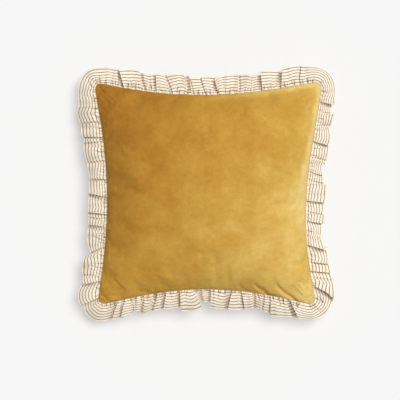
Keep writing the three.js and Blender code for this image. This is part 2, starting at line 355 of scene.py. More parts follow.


# %% [markdown]
# ## Filling the cover
# A real cover is cut larger than the cushion that comes of it, and the filling presses it out until
# the seam holds it back. A cloth simulation does the same: the cloth is a few percent larger than
# the form it starts from, the seam and the patch on the floor are held, and air pressure stands in
# for the filling. Twenty frames without weight are enough to swell it and to fold it. A coarse blank
# is filled first, because on a mesh nearly as fine as the cover's this takes more than a minute.

# %% Sizes of the filling
BLANK_STEPS = 80
FILLING_FRAMES = 20
AIR_PRESSURE = 4.0
CLOTH_TO_SPARE = 0.035
VELVET_CLOTH = {
    "quality": 5,
    "mass": 0.3,
    "tension_stiffness": 15.0,
    "compression_stiffness": 15.0,
    "shear_stiffness": 5.0,
    "bending_stiffness": 0.4,
}

# %% Simulating the blank
blank_grid = form_grid(BLANK_STEPS)
blank, blank_band = cover_object("cover_blank", blank_grid)
on_floor = np.flatnonzero(blank_grid[..., 2].ravel() <= 0)
held = blank.vertex_groups.new(name="held")
held.add(np.concatenate([blank_band, on_floor]).tolist(), 1.0, "REPLACE")
filling = blank.modifiers.new("filling", "CLOTH")
for setting, value in VELVET_CLOTH.items():
    setattr(filling.settings, setting, value)
filling.settings.use_pressure = True
filling.settings.uniform_pressure_force = AIR_PRESSURE
filling.settings.shrink_min = -CLOTH_TO_SPARE
filling.settings.vertex_group_mass = "held"
filling.settings.effector_weights.gravity = 0.0
filling.collision_settings.use_collision = False
filling.point_cache.frame_start = 1
filling.point_cache.frame_end = FILLING_FRAMES
for frame_number in range(1, FILLING_FRAMES + 1):
    bpy.context.scene.frame_set(frame_number)
bpy.context.view_layer.objects.active = blank
bpy.ops.object.modifier_apply(modifier="filling")
bpy.context.scene.frame_set(1)

filled = np.empty(blank_grid.size)
blank.data.vertices.foreach_get("co", filled)
moved = filled.reshape(blank_grid.shape) / MM - blank_grid
bpy.data.objects.remove(blank)
print("the filling moved the cloth by up to", round(float(np.abs(moved).max()), 1), "mm")

# %% [markdown]
# ## The folds that the filling made
# The blank has swollen as a whole and has also folded. A running mean of its movement is the broad
# part. That part is taken off, so that the cushion keeps its measured form, and what is left are the
# folds. Very deep ones are held back, and new values are set between the old for the finer mesh.

# %% The folds that the filling made
BROAD_STEPS = 5
MOST_MOVED = 4.5


def running_mean(values, axis):
    """The mean of each value and its neighbours up to BROAD_STEPS away along one axis."""
    before = np.repeat(values.take([0], axis), BROAD_STEPS, axis)
    behind = np.repeat(values.take([-1], axis), BROAD_STEPS, axis)
    padded = np.concatenate([before, values, behind], axis)
    span = values.shape[axis]
    window = 2 * BROAD_STEPS + 1
    return sum(padded.take(range(k, k + span), axis) for k in range(window)) / window


def twice_as_fine(values, axis):
    """A value between each two: (9 (b + c) - a - d) / 16, a smooth curve through four neighbours."""
    span = values.shape[axis]
    b = values.take(range(span - 1), axis)
    c = values.take(range(1, span), axis)
    a = np.concatenate([b.take([0], axis), b], axis).take(range(span - 1), axis)
    d = np.concatenate([c, c.take([-1], axis)], axis).take(range(1, span), axis)
    between = (9 * (b + c) - a - d) / 16
    order = np.argsort(np.concatenate([np.arange(span), np.arange(span - 1) + 0.5]))
    return np.concatenate([values, between], axis).take(order, axis)


# %% The folds without the broad movement
broad = moved
for axis in (1, 2, 1, 2):
    broad = running_mean(broad, axis)
wrinkles = moved - broad
length = np.maximum(np.linalg.norm(wrinkles, axis=-1, keepdims=True), TINY)
wrinkles = wrinkles * MOST_MOVED * np.tanh(length / MOST_MOVED) / length
wrinkles = twice_as_fine(twice_as_fine(wrinkles, 1), 2)
print("its folds are up to", round(float(np.abs(wrinkles).max()), 1), "mm deep")

# %% [markdown]
# ## The finished cover
# The fine mesh is the same crowned form with the folds, the puckers and the creases on it. Folds
# and puckers fade out at the seam, where the stitches hold the cloth, and the creases are on the
# upper face alone. The patch on the floor stays flat.

# %% The cover's mesh
COVER_STEPS = 2 * BLANK_STEPS
HIGHEST = 131.0
HELD_WIDTH = 5.0

cover_form = form_grid(COVER_STEPS)
cover_plan, _, cover_position = cover_grid(*square_grid(COVER_STEPS))
to_seam = np.linalg.norm(plan_point(cover_position, 1.0) - cover_plan, axis=-1)
fade = 1 - np.exp(-to_seam / HELD_WIDTH)
cover = cover_form + wrinkles * fade[..., None]
folded = puckered(cover_position, to_seam)
cover[0, ..., 2] += folded + creased(cover_plan[..., 0], cover_plan[..., 1])
cover[1, ..., 2] -= folded
cover[..., 2] *= np.minimum(1, HIGHEST / cover[..., 2].max())
cover[..., 2] = np.where(cover_form[..., 2] <= 0, 0, np.maximum(cover[..., 2], 0))
cushion, _ = cover_object("velvet_cushion", cover)
print("the cushion is", round(float(cover[..., 2].max()), 1), "mm high")

# %% [markdown]
# The velvet's material has to know how far a point is from the seam, so the cover gets a UV map of
# its own, in metres: first the place on the seam that lies outwards of the point, then the distance
# from that place.

# %% The cover's UV map
loop_points = np.empty(len(cushion.data.loops), dtype=np.int32)
cushion.data.loops.foreach_get("vertex_index", loop_points)
cover_uv = np.stack([np.tile(cover_position.ravel(), 2), np.tile(to_seam.ravel(), 2)], axis=1)
uv = cushion.data.uv_layers.new(name="cover")
uv.data.foreach_set("uv", (cover_uv[loop_points] * MM).ravel())
print("the cover's UV map reaches", round(float(to_seam.max())), "mm in, from a corner to the middle")

# %% [markdown]
# ## The frill's folds
# A gathered frill doesn't ripple evenly. It lies in flat panels of different lengths, and where
# two panels meet, one laps over the other like a pleat that nobody pressed. Each such fold is a
# row of a table: where it meets the hem and the seam, as the distance clockwise from the middle
# line of its side; over, which is 1 where the cloth before it lies on top and -1 where the cloth
# after it does; how far the cloth drops and laps there; how far the hem reaches out before it, after
# it and midway to the next fold; and the width of the dark slit beside it. All are millimetres.

# %% The table of folds
FOLD_COLUMNS = ("hem", "seam", "over", "drop", "lap", "before", "after", "mid", "slit")
FOLDS = {
    "top": [
        (-167, -160, -1, 10, 4, 37, 33, 39, 3.0),
        (-134, -126, 1, 11, 4, 39, 35, 34, 2.2),
        (-110, -106, 1, 7, 2, 33, 35, 37, 0.9),
        (-96, -97, -1, 9, 3, 37, 37, 37, 3.2),
        (-84, -71, 1, 9, 3, 34, 35, 39, 1.4),
        (-47, -38, 1, 9, 3, 40, 37, 37, 2.2),
        (-38, -29, 1, 7, 2, 37, 33, 34, 1.4),
        (-10, -1, -1, 4, 0, 33, 36, 37, 1.0),
        (17, 22, -1, 10, 4, 37, 29, 37, 3.2),
        (57, 59, 1, 10, 4, 36, 36, 36, 2.0),
        (86, 81, 1, 5, 0, 32, 30, 32, 0.8),
        (107, 107, -1, 11, 4, 31, 39, 37, 3.2),
        (149, 143, -1, 12, 5, 31, 38, 40, 4.4),
        (184, 178, -1, 5, 0, 38, 38, 29, 1.2),
    ],
    "right": [
        (-170, -176, 1, 9, 3, 30, 26, 24, 2.2),
        (-149, -151, -1, 8, 2, 25, 33, 31, 1.0),
        (-127, -124, -1, 8, 2, 28, 24, 32, 1.1),
        (-93, -99, 1, 8, 3, 32, 33, 34, 1.8),
        (-56, -63, -1, 11, 4, 31, 28, 25, 1.9),
        (-33, -41, 1, 4, 0, 28, 29, 31, 1.0),
        (-12, -18, -1, 8, 3, 32, 38, 39, 1.1),
        (16, 16, 1, 8, 3, 39, 35, 36, 1.8),
        (46, 40, -1, 7, 2, 33, 37, 37, 0.9),
        (58, 54, 1, 7, 2, 36, 31, 31, 1.5),
        (92, 84, -1, 4, 0, 28, 29, 32, 0.8),
        (108, 100, 1, 11, 4, 35, 41, 40, 3.4),
        (136, 133, 1, 6, 1, 38, 40, 41, 1.2),
        (153, 151, 1, 6, 1, 41, 38, 42, 1.2),
        (171, 164, -1, 5, 0, 42, 42, 42, 0.8),
        (196, 179, 1, 11, 3, 41, 40, 32, 2.8),
    ],
    "bottom": [
        (-181, -160, 1, 13, 4, 33, 30, 36, 8.0),
        (-122, -123, 1, 7, -3, 41, 35, 33, 1.6),
        (-103, -106, -1, 9, 3, 32, 30, 29, 1.5),
        (-88, -87, -1, 8, 2, 29, 29, 33, 1.1),
        (-75, -67, 1, 7, 1, 33, 34, 38, 1.8),
        (-44, -49, 1, 11, 4, 37, 37, 38, 4.2),
        (-8, -8, 1, 9, 2, 36, 26, 24, 3.4),
        (13, 26, -1, 12, 4, 22, 37, 42, 2.0),
        (47, 52, 1, 10, 4, 41, 32, 34, 2.6),
        (81, 78, 1, 10, 4, 33, 32, 34, 4.0),
        (114, 102, -1, 12, 4, 34, 32, 36, 2.9),
        (132, 127, -1, 9, 2, 27, 28, 28, 1.4),
        (146, 143, -1, 5, 0, 28, 31, 31, 0.8),
        (164, 159, 1, 8, 2, 32, 35, 35, 2.2),
        (181, 171, 1, 11, 4, 33, 28, 38, 5.6),
    ],
    "left": [
        (-203, -204, -1, 9, 3, 28, 38, 41, 3.0),
        (-176, -170, -1, 8, 2, 33, 32, 35, 2.0),
        (-162, -162, 1, 5, 0, 36, 37, 41, 0.8),
        (-126, -108, 1, 10, 3, 38, 22, 35, 2.1),
        (-71, -79, 1, 9, 3, 36, 36, 36, 1.5),
        (-60, -65, -1, 5, 1, 36, 36, 36, 1.4),
        (-51, -56, 1, 5, 1, 36, 36, 37, 0.9),
        (-36, -42, -1, 6, 1, 37, 37, 37, 1.6),
        (2, -9, -1, 10, 4, 36, 35, 35, 3.2),
        (20, 18, 1, 9, 3, 35, 32, 35, 1.7),
        (54, 57, 1, 7, 2, 36, 36, 40, 1.1),
        (92, 96, 1, 6, 1, 40, 39, 38, 1.0),
        (110, 107, -1, 6, 1, 37, 41, 41, 1.8),
        (129, 131, 1, 9, 3, 40, 38, 43, 1.9),
        (162, 165, 1, 5, 0, 41, 40, 34, 0.9),
    ],
}

rows = []
for k, name in enumerate(SIDE_NAMES):
    table = np.array(FOLDS[name], dtype=float)
    table[:, :2] += side_start[k] - side_first[k]
    rows.append(table)
folds = dict(zip(FOLD_COLUMNS, np.concatenate(rows).T))
fold_count = len(folds["hem"])
print(fold_count, "folds round the frill")

# %% [markdown]
# ## The cloth from fold to fold
# A column of cloth runs from the seam to the hem. Most columns belong to the flat panels, and a
# few to the turns between them, where the cloth drops from the upper layer to the lower. The turns
# are worked out for all folds at once, and the panels one after another, because each has as many
# columns as its length asks for.

# %% Columns of cloth
FOLD_WIDTH_SEAM = 1.6
FOLD_WIDTH_HEM = 3.0
TURN_COLUMNS = 9
PANEL_SPACING = 0.72
FEWEST_COLUMNS = 9
USUAL_PANEL = 25.0
PANEL_SCALES = (0.4, 1.3)
BILLOW = 2.2
BILLOW_FROM = -0.35
BELLY_POWER = 1.5
SLIT_DEPTH = 1.1
SLIT_AT_HEM = 0.62
SLIT_POWER = 11
CREST = 0.9
CREST_WIDTH = 3.5
HOOK = 2.2
HOOK_WIDTH = 3.2
UPPER_HOOK = 0.5
USUAL_DROP = 10.0
TILT = 2.6
ARCH = 1.8
# Spacing and height of the waves in the threads.
THREAD_WAVES = ((38.0, 1.5), (16.0, 0.5), (7.0, 0.25))

after = {key: np.roll(values, -1) for key, values in folds.items()}
once_round = np.where(np.arange(fold_count) == fold_count - 1, ring_length, 0)
after["hem"] = after["hem"] + once_round
after["seam"] = after["seam"] + once_round
panel_length = after["hem"] - folds["hem"] - FOLD_WIDTH_HEM
panel_columns = np.maximum(FEWEST_COLUMNS, np.round(panel_length / PANEL_SPACING)).astype(int)
panel_scale = np.clip(panel_length / USUAL_PANEL, *PANEL_SCALES)
print("panels of", round(panel_length.min()), "to", round(panel_length.max()), "mm")
billow = BILLOW * random.uniform(BILLOW_FROM, 1.0, fold_count) * panel_scale
tilt = TILT * random.uniform(-1.0, 1.0, fold_count) * panel_scale
arch = ARCH * random.uniform(-1.0, 1.0, fold_count) * panel_scale


# %% Two small helpers
def smooth(x):
    """3 x x - 2 x x x, a step without corners."""
    return x * x * (3 - 2 * x)


def lerp(a, b, share):
    """The value that lies a share of the way from a to b."""
    return a + (b - a) * share


# %% The cloth beside a fold
def beside(fold, x, lower):
    """What a fold does to the cloth beside it, at x millimetres from its edge. The lower layer falls
    into a slit, -depth / (1 + (x / x0) ** power), with x0 = lap + slit + a quarter of the fold's own
    width. The upper layer swells to a crest, height * exp(-(x / width) ** 2). The stripes of both
    hook towards the seam.
    """
    edge = fold["lap"] + fold["slit"] + FOLD_WIDTH_HEM / 4
    fall = -SLIT_DEPTH * fold["drop"] / (1 + (x / np.maximum(edge, 1)) ** SLIT_POWER)
    swell = CREST * np.exp(-((x / CREST_WIDTH) ** 2))
    past = np.maximum(x - np.where(lower, np.maximum(fold["lap"], 0), 0), 0)
    strength = np.where(lower, 1.0, UPPER_HOOK) * fold["drop"] / USUAL_DROP
    hook = -HOOK * strength * np.exp(-past / HOOK_WIDTH)
    return np.where(lower, fall, swell), hook


# %% The turn of a fold
def turn_columns(i):
    """The turn of a fold: wave = -over * drop / 2 * sin(pi * step), step from -1/2 to 1/2."""
    step = np.linspace(-0.5, 0.5, TURN_COLUMNS)
    f = {key: values[i][:, None] for key, values in folds.items()}
    fall, low_hook = beside(f, 0 * step, True)
    swell, high_hook = beside(f, 0 * step, False)
    lowered = smooth(0.5 + f["over"] * step)
    return {
        "hem": f["hem"] + step * FOLD_WIDTH_HEM,
        "seam": f["seam"] + step * FOLD_WIDTH_SEAM,
        "wave": -f["over"] * f["drop"] / 2 * np.sin(np.pi * step),
        "lean": f["over"] * (f["lap"] + FOLD_WIDTH_HEM) / f["drop"] + 0 * step,
        "reach": lerp(f["before"], f["after"], smooth(step + 0.5)),
        "relief": lerp(swell, fall, lowered),
        "drift": lerp(high_hook, low_hook, lowered),
    }


# %% The panel between two folds
def panel_between(i):
    """The panel after one fold: a smooth step from its lower or upper layer to the next fold's,
    with a belly of its own height, and a reach that swells to "mid" halfway. Its stripes tilt and
    arch a little in their own way."""
    share = (np.arange(panel_columns[i]) + 1) / (panel_columns[i] + 1)
    this = {key: values[i] for key, values in folds.items()}
    that = {key: values[i] for key, values in after.items()}
    first_wave = -this["over"] * this["drop"] / 2
    last_wave = that["over"] * that["drop"] / 2
    first_lean = this["over"] * (this["lap"] + FOLD_WIDTH_HEM) / this["drop"]
    last_lean = that["over"] * (that["lap"] + FOLD_WIDTH_HEM) / that["drop"]
    belly = 4 * share * (1 - share)
    middle_reach = (this["after"] + that["before"]) / 2
    first_relief, first_hook = beside(this, share * panel_length[i], this["over"] > 0)
    last_relief, last_hook = beside(that, (1 - share) * panel_length[i], that["over"] < 0)
    return {
        "hem": lerp(this["hem"] + FOLD_WIDTH_HEM / 2, that["hem"] - FOLD_WIDTH_HEM / 2, share),
        "seam": lerp(this["seam"] + FOLD_WIDTH_SEAM / 2, that["seam"] - FOLD_WIDTH_SEAM / 2, share),
        "wave": lerp(first_wave, last_wave, smooth(share)) + billow[i] * belly**BELLY_POWER,
        "lean": lerp(first_lean, last_lean, smooth(share)),
        "reach": lerp(this["after"], that["before"], share) + (this["mid"] - middle_reach) * belly,
        "relief": first_relief + last_relief,
        "drift": first_hook + last_hook + belly * (tilt[i] * (share - 0.5) * 2 + arch[i]),
    }


# %% All the columns
turns = turn_columns(np.arange(fold_count))
pieces = []
for i in range(fold_count):
    pieces.append({key: values[i] for key, values in turns.items()})
    pieces.append(panel_between(i))
column = {key: np.concatenate([piece[key] for piece in pieces]) for key in turns}
for spacing, height in THREAD_WAVES:
    column["drift"] = column["drift"] + height * uneven_wave(column["hem"], spacing, wander=1.2)
print(len(column["hem"]), "columns of cloth")

# %% [markdown]
# ## The frill's sheet
# The sheet's cross-section is a thin loop: out along its upper face, round the fold at the hem,
# and back along its lower face. Every point of the loop is found from its column and its distance
# from the seam. The wave opens with the distance, and the column leans over in step with its
# height, so that the folds lap one another.

# %% The sheet's cross-section
CLOTH = 1.8
THICKEST = 2.6
SEAM_GAP = 0.3
USUAL_REACH = 36.0
LIFT = 3.0
DROOP = 15.0
SPREAD = 0.5
FACE_ROWS = 19
UNDER_ROWS = 9
HEM_ROWS = 5
FRILL_DEPTH = 40.0
CLOSER_AT_SEAM = 1.2

face_down = np.linspace(0, 1, FACE_ROWS) ** CLOSER_AT_SEAM
under_down = np.linspace(1, 0, UNDER_ROWS)
hem_angle = np.linspace(0, np.pi, HEM_ROWS + 2)[1:-1]
profile_down = np.concatenate([face_down, np.ones(HEM_ROWS), under_down])
profile_face = np.concatenate([np.ones(FACE_ROWS), np.cos(hem_angle), -np.ones(UNDER_ROWS)])
profile_over = np.concatenate([np.zeros(FACE_ROWS), np.sin(hem_angle), np.zeros(UNDER_ROWS)])
print("the sheet's cross-section has", len(profile_down), "points")

# %% [markdown]
# ### Gathers and tucks
# Beside the stitching the cloth is squeezed to about half its length, so it breaks into short narrow
# puckers that run out from the seam, uneven in place, length and depth, and here and there into a
# longer tuck. Both are trenches: a narrow dip that starts near the seam and dies out on the way to
# the hem. The tucks that can be told apart in the photograph are rows of a table. The puckers are
# drawn at random, and are shallower at the right, where the photograph shows them less.

# %% Gathers and tucks
# Each row holds the place on its side, the slant, the distances from the seam at which the tuck
# starts and ends, its depth and its width.
TUCKS = {
    "top": [
        (-207, 0.1, 3, 17, 6.0, 1.5),
        (-181, 0.4, 2, 11, 3.6, 1.3),
        (-143, -0.3, 2, 17, 4.4, 1.4),
        (-117, -0.5, 2, 15, 4.2, 1.4),
        (-59, 0.0, 2, 15, 4.6, 1.4),
        (-1, 0.1, 1, 7, 4.6, 1.5),
        (34, 0.2, 2, 13, 3.2, 1.3),
        (52, -0.3, 1, 8, 4.6, 1.4),
        (91, 0.2, 1, 8, 5.0, 1.7),
        (123, 0.1, 1, 12, 3.8, 1.3),
        (168, 0.2, 1, 9, 4.2, 1.5),
    ],
    "right": [
        (-196, 0.2, 1, 12, 3.4, 1.3),
        (-112, 0.0, 2, 14, 3.0, 1.3),
        (-86, 0.2, 2, 20, 3.8, 1.4),
        (28, 0.0, 2, 13, 3.0, 1.3),
        (74, -0.3, 2, 18, 3.6, 1.4),
        (118, 0.3, 2, 20, 3.8, 1.4),
        (192, 0.9, 8, 24, 4.4, 1.5),
        (204, 0.2, 2, 22, 5.0, 1.5),
    ],
    "bottom": [
        (-204, -0.3, 1, 14, 5.0, 1.6),
        (-196, -0.6, 2, 20, 5.4, 1.6),
        (-146, 0.3, 2, 22, 4.4, 1.5),
        (-138, 0.2, 1, 12, 4.0, 1.4),
        (-62, 0.0, 1, 10, 4.4, 1.5),
        (-24, 0.1, 2, 18, 4.2, 1.4),
        (33, 0.2, 1, 10, 4.4, 1.5),
        (66, 0.2, 2, 16, 3.6, 1.4),
        (92, 0.0, 2, 14, 4.0, 1.4),
        (119, -0.2, 1, 10, 4.0, 1.4),
        (196, -0.1, 1, 11, 4.4, 1.6),
    ],
    "left": [
        (-188, 0.0, 1, 12, 4.6, 1.5),
        (-148, 0.2, 2, 22, 4.2, 1.4),
        (-95, 0.3, 2, 24, 4.6, 1.4),
        (-86, 0.0, 1, 12, 4.4, 1.4),
        (-20, 0.1, 2, 14, 4.0, 1.4),
        (38, 0.0, 2, 14, 4.0, 1.4),
        (74, 0.2, 2, 20, 4.2, 1.4),
        (146, 0.1, 2, 14, 4.4, 1.4),
        (182, -0.1, 1, 13, 4.6, 1.5),
        (199, 0.5, 9, 21, 6.0, 1.5),
    ],
}
TUCK_FORCE = 1.35
PUCKER_STEP = 5.8
PUCKER_REACH = (3.0, 13.0)
PUCKER_DIP = (3.0, 8.5)
PUCKER_HALF = (0.85, 1.35)
PUCKER_SLANT = 0.35
PUCKER_JITTER = 0.4
SIDE_STRENGTH = np.array([1.0, 0.6, 1.0, 0.95])
GATHER_SPACING = 12.5
GATHER_HEIGHT = 1.5
GATHER_LENGTH = 14.0
RIPPLE_SPACING = 21.0
RIPPLE_HEIGHT = 1.4
TRENCH_START = 2.0
TRENCH_END_POWER = 6
TRENCH_EDGE = 3
STITCHED_WIDTH = 1.2

# %% Tucks and puckers as trenches
trench_rows = []
for k, name in enumerate(SIDE_NAMES):
    table = np.array(TUCKS[name], dtype=float)
    table[:, 0] += side_start[k] - side_first[k]
    trench_rows.append(table)
pucker_count = round(ring_length / PUCKER_STEP)
pucker_shift = random.uniform(-PUCKER_JITTER, PUCKER_JITTER, pucker_count)
pucker_at = (np.arange(pucker_count) + pucker_shift) * PUCKER_STEP
puckers = np.stack(
    [
        pucker_at,
        random.uniform(-PUCKER_SLANT, PUCKER_SLANT, pucker_count),
        np.zeros(pucker_count),
        random.uniform(*PUCKER_REACH, pucker_count),
        random.uniform(*PUCKER_DIP, pucker_count) * SIDE_STRENGTH[side_at(pucker_at)[0]],
        random.uniform(*PUCKER_HALF, pucker_count),
    ],
    axis=1,
)
trenches = np.concatenate([*trench_rows, puckers])
print(len(trenches), "gathers and tucks")


# %% Height of gathers and tucks
def small_folds(position, distance):
    """Uneven waves, and for each trench -depth * exp(-(aside / width) ** 2), faded in where it starts
    and out where it ends. Aside is the distance along the ring from its slanting line."""
    gathers = uneven_wave(position, GATHER_SPACING, wander=1.1) * np.exp(-distance / GATHER_LENGTH)
    ripples = uneven_wave(position, RIPPLE_SPACING, wander=1.3) * distance / USUAL_REACH
    total = GATHER_HEIGHT * gathers + RIPPLE_HEIGHT * ripples
    for at, slant, begins, ends, deep, wide in trenches:
        aside = position - at - slant * distance
        aside = np.mod(aside + ring_length / 2, ring_length) - ring_length / 2
        near = np.abs(aside) < TRENCH_EDGE * wide
        far = distance[near]
        begun = smooth(np.clip((far - begins) / TRENCH_START + 1, 0, 1))
        fade = begun * np.exp(-((far / ends) ** TRENCH_END_POWER))
        total[near] -= TUCK_FORCE * deep * fade * np.exp(-((aside[near] / wide) ** 2))
    return total * (1 - np.exp(-distance / STITCHED_WIDTH))


# %% [markdown]
# ### The whole sheet
# The loop is now worked out in every column at once. Slits, crests, gathers and tucks only move the
# cloth up or down, and the lean follows the folds alone. The lower face is hardly seen and has fewer
# rows than the upper one, so under a narrow, deep gather the two faces can pass through each other.


# %% The sheet as a function
def frill_points():
    """x, y, z of every point of the loop (rows) in every column, in millimetres. A row follows a
    thread, which drifts nearer to the seam or the hem where the cloth was pulled about."""
    down = profile_down[:, None]
    face = profile_face[:, None]
    drifted = down + column["drift"] * 4 * down * (1 - down) / FRILL_DEPTH
    reach = lerp(SEAM_GAP, column["reach"], np.clip(drifted, 0, 1))
    out = reach / USUAL_REACH
    opened = out**SPREAD
    place = lerp(column["seam"], column["hem"], out)
    run = np.mod(np.roll(place, -1, axis=1) - np.roll(place, 1, axis=1), ring_length)
    leaning = column["wave"] * opened
    relief = column["relief"] * opened * lerp(1, SLIT_AT_HEM, out**2)
    wave = leaning + relief + small_folds(place, reach)
    lean = column["lean"] * opened
    slope = (np.roll(wave, -1, axis=1) - np.roll(wave, 1, axis=1)) / run
    leaning_slope = (np.roll(leaning, -1, axis=1) - np.roll(leaning, 1, axis=1)) / run
    cloth = CLOTH * np.clip(np.hypot(1 + lean * leaning_slope, slope), 1, THICKEST)
    position = place + lean * (leaning + face * cloth / 2)
    out_mm = reach + profile_over[:, None] * CLOTH / 2
    plan = plan_point(position, 1.0) + outward(position) * out_mm[..., None]
    height = seam_height(position) + LIFT * out - DROOP * out**2 + wave + face * cloth / 2
    return np.concatenate([plan, height[..., None]], axis=-1)


frill_grid = frill_points()
frill_index = np.arange(frill_grid.shape[0] * frill_grid.shape[1]).reshape(frill_grid.shape[:2])
frill = mesh_object("ticking_frill", frill_grid.reshape(-1, 3), grid_faces(frill_index, True, True))

# %% [markdown]
# ## Where the threads run
# The stripes run with the hem, so a material needs to know how far from the seam each point was
# before the cloth was gathered. That goes into the frill's own UV map, in metres: along the strip
# it is the length of hem walked so far, and across it the depth, which is the same 40 mm all round.

# %% The frill's UV map
hem_row = frill_grid[FACE_ROWS - 1]
hem_steps = np.linalg.norm(np.roll(hem_row, -1, axis=0) - hem_row, axis=1)
strip_along = np.concatenate([[0], np.cumsum(hem_steps)])
strip_across = profile_down * FRILL_DEPTH

row_numbers, column_numbers = np.divmod(
    np.arange(frill_index.size).reshape(frill_index.shape), frill_index.shape[1]
)
next_rows = np.roll(row_numbers, -1, axis=0)
corner_rows = [row_numbers, row_numbers, next_rows, next_rows]
corner_columns = [column_numbers, column_numbers + 1, column_numbers + 1, column_numbers]
corner_u = np.stack([strip_along[c].ravel() for c in corner_columns], axis=1)
corner_v = np.stack([strip_across[r].ravel() for r in corner_rows], axis=1)
uv = frill.data.uv_layers.new(name="strip")
uv.data.foreach_set("uv", (np.stack([corner_u, corner_v], axis=-1) * MM).ravel())

# %% [markdown]
# ## Colours and nodes
# Colours are written as they look on a screen and turned into the linear numbers that a shader
# works with. One helper adds any node, sets its inputs or links them, and gives back its output, so
# the next node can be written around it.


# %% Colours and nodes
def linear(hex_colour):
    """The sRGB curve, undone: c / 12.92 below 0.04045, else ((c + 0.055) / 1.055) ** 2.4."""
    channels = [int(hex_colour[i : i + 2], 16) / 255 for i in (1, 3, 5)]
    return tuple(c / 12.92 if c <= 0.04045 else ((c + 0.055) / 1.055) ** 2.4 for c in channels) + (1.0,)


def add_node(tree, kind, inputs=None, output=0, **settings):
    """One output of a new node. An input is given by name or number, as a value or as a socket."""
    node = tree.nodes.new(kind)
    for name, value in settings.items():
        setattr(node, name, value)
    for name, value in (inputs or {}).items():
        if isinstance(value, bpy.types.NodeSocket):
            tree.links.new(value, node.inputs[name])
        else:
            node.inputs[name].default_value = value
    return node.outputs[output]


def new_material(name, surface):
    """A material whose Principled shader has the given constant values, with its node tree."""
    material = bpy.data.materials.new(name)
    material.use_nodes = True
    shader = material.node_tree.nodes["Principled BSDF"]
    for socket, value in surface.items():
        shader.inputs[socket].default_value = value
    print(name, "has a roughness of", surface["Roughness"])
    return material, material.node_tree, shader


# %% [markdown]
# ## Velvet
# Cotton velvet is a forest of short fibres, with no gloss of its own. Looked at along them it is
# dark and rich, and at a slant their sides catch the light, so slopes turn paler: that is the
# shader's sheen. Light and shade are also painted into the colour. It is a deep orange brown at
# the top left and a pale yellow at the bottom right: partly the lay of a pile stroked from one
# corner to the other, and partly painted shade on the left and painted light on the right. So the
# material works out a number from 0 for dark to 1 for pale, and a ramp turns that into a colour.
# Soft patches and smudges break up the change. A round painted highlight at the right, and a pale
# band of painted sheen along the top and right seams, make it paler still.

# %% Colours and sizes of the pile and of the painted light
# From dark to pale: the pile's colours, deepened at the dark end by painted shade and lifted at the pale
# end by painted light.
PILE_AND_LIGHT_COLOURS = (
    (0.0, linear("#a67024")),
    (0.3, linear("#b98732")),
    (0.55, linear("#c89b42")),
    (0.8, linear("#d9b35c")),
    (1.0, linear("#e4c67c")),
)
COTTON_VELVET = {
    "Roughness": 0.85,
    "Specular IOR Level": 0.15,
    "Sheen Weight": 0.35,
    "Sheen Roughness": 0.4,
    "Sheen Tint": linear("#dcae55"),
}
MIDDLE_LIE_AND_LIGHT = 0.46
# The stroke across the cover, which also carries painted shade on the left and painted light on the
# right.
STROKE_AND_LIGHT = (0.80, -0.50)
STROKE_AND_LIGHT_LENGTH = 540.0
# A pale band of painted sheen along the top and right seams, on the sides turned towards the light.
SHEEN_BAND_WIDTHS = (3.0, 21.0)
SHEEN_BAND_TOWARDS = (0.75, 0.65, 0.0)
SHEEN_BAND_REACH = (60.0, 205.0)
SHEEN_BAND_SHARE = 0.4
# A round spot of painted highlight at the right, where the slope faces the light.
SHEEN_SPOT_AT = (172.0, -22.0, 60.0)
SHEEN_SPOT_SIZE = 95.0
SHEEN_SPOT_SHARE = 0.28
# Size in millimetres, detail and roughness of each noise.
PATCHES = (58.0, 4.0, 0.55)
SMUDGES = (11.0, 3.0, 0.6)
PATCH_SHARE = 0.72
SMUDGE_SHARE = 0.3


# %% Inputs of noises and steps
def cloudy(place, size, detail, roughness):
    """The inputs of a noise whose clouds are "size" millimetres across."""
    return {"Vector": place, "Scale": 1 / (size * MM), "Detail": detail, "Roughness": roughness}


def from_to(value, span, low, high):
    """The inputs of a step from low to high, while the value crosses a span in millimetres."""
    start, end = span
    return {"Value": value, "From Min": start * MM, "From Max": end * MM, "To Min": low, "To Max": high}


# %% How the pile lies, and where light and shade are painted
velvet, tree, shader = new_material("mustard_velvet", COTTON_VELVET)
place = add_node(tree, "ShaderNodeTexCoord", output="Object")
inwards = add_node(tree, "ShaderNodeUVMap", uv_map="cover")
inwards = add_node(tree, "ShaderNodeSeparateXYZ", {0: inwards}, "Y")
# Darker at the top left and paler at the bottom right: the lay of the pile, with painted shade and
# painted light.
stroke_and_light = tuple(part / (STROKE_AND_LIGHT_LENGTH * MM) for part in (*STROKE_AND_LIGHT, 0.0))
sheen_spot_at = tuple(part * MM for part in SHEEN_SPOT_AT)
stroked_and_lit = add_node(tree, "ShaderNodeVectorMath", {0: place, 1: stroke_and_light}, "Value", operation="DOT_PRODUCT")
to_spot = add_node(tree, "ShaderNodeVectorMath", {0: place, 1: sheen_spot_at}, "Value", operation="DISTANCE")
# The painted sheen band is strongest on the top and right sides.
towards = {0: place, 1: SHEEN_BAND_TOWARDS}
towards = add_node(tree, "ShaderNodeVectorMath", towards, "Value", operation="DOT_PRODUCT")
steps = []
for step in (
    from_to(to_spot, (0.0, SHEEN_SPOT_SIZE), SHEEN_SPOT_SHARE, 0.0),
    from_to(inwards, SHEEN_BAND_WIDTHS, SHEEN_BAND_SHARE, 0.0),
    from_to(towards, SHEEN_BAND_REACH, 0.0, 1.0),
):
    steps.append(add_node(tree, "ShaderNodeMapRange", step, interpolation_type="SMOOTHSTEP"))
painted_sheen_spot, sheen_near_seam, sheen_on_side = steps
patches = add_node(tree, "ShaderNodeTexNoise", cloudy(place, *PATCHES), "Fac")
smudges = add_node(tree, "ShaderNodeTexNoise", cloudy(place, *SMUDGES), "Fac")
# Noise lies around a half, so half of each share is taken off the middle.
lie_and_light = MIDDLE_LIE_AND_LIGHT - (PATCH_SHARE + SMUDGE_SHARE) / 2
